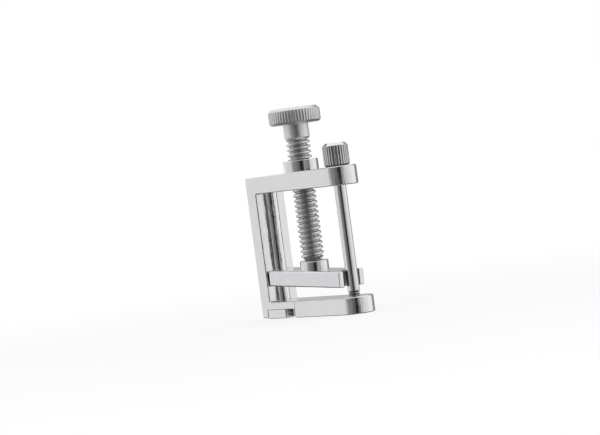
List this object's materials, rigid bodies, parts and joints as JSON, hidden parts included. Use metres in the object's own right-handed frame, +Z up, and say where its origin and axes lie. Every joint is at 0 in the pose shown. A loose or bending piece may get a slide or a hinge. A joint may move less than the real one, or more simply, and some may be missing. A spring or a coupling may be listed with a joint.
{
  "type": "tubing pinch clamp",
  "caption": "Open-side screw pinch clamp for tubing: a knurled thumb screw lowers a forked jaw onto a base bar that swings out about a knurled gate rod.",
  "frame": {"origin": "on the standing surface, midway along and across the clamp's outline", "axes": "+X from the web towards the gate rod, +Y to the back, +Z up along the thumb screw"},
  "size_m": [0.0364, 0.013, 0.0523],
  "materials": {
    "frame_plating": "satin-polished nickel plate on the flats, bright on the rib",
    "bush_plating": "bright turned plate",
    "stud_steel": "turned, plated",
    "screw_plating": "turned and knurled, plated",
    "washer_steel": "plain plated",
    "jaw_plating": "polished plate",
    "ring_plating": "bright turned plate",
    "base_plating": "satin-polished nickel plate",
    "rod_plating": "bright rod with a straight-knurled head, plated"
  },
  "bodies": {
    "frame": {"frame": "frame_plating", "threaded_bush": "bush_plating", "latch_stud": "stud_steel"},
    "swivel": {"tip_washer": "washer_steel"},
    "screw": {"thumb_screw": "screw_plating"},
    "jaw": {"jaw": "jaw_plating", "swivel_ring": "ring_plating"},
    "base": {"base_bar": "base_plating"},
    "gate_rod": {"gate_rod": "rod_plating"}
  },
  "joints": [
    {"name": "jaw_travel", "type": "slide", "parent": "frame", "child": "swivel", "axis": [0, 0, 1], "range_m": [-0.0022, 0.0176]},
    {"name": "screw_turn", "type": "hinge", "parent": "swivel", "child": "screw", "pos_m": [-0.00045, 0, 0], "axis": [0, 0, 1], "range_deg": [-624, 4990]},
    {"name": "jaw_rock", "type": "hinge", "parent": "swivel", "child": "jaw", "pos_m": [-0.00045, 0, 0.00948], "axis": [0, 1, 0], "range_deg": [-6.6, 0]},
    {"name": "base_swing", "type": "hinge", "parent": "frame", "child": "base", "pos_m": [0.01365, 0, 0.002], "axis": [0, 0, 1], "range_deg": [-330, 0]},
    {"name": "gate_rod_lift", "type": "slide", "parent": "base", "child": "gate_rod", "axis": [0, 0, 1], "range_m": [0, 0.0037]}
  ],
  "couplings": [
    {"joint": "screw_turn", "follows": "jaw_travel", "rad_per_m": 4947.4}
  ]
}
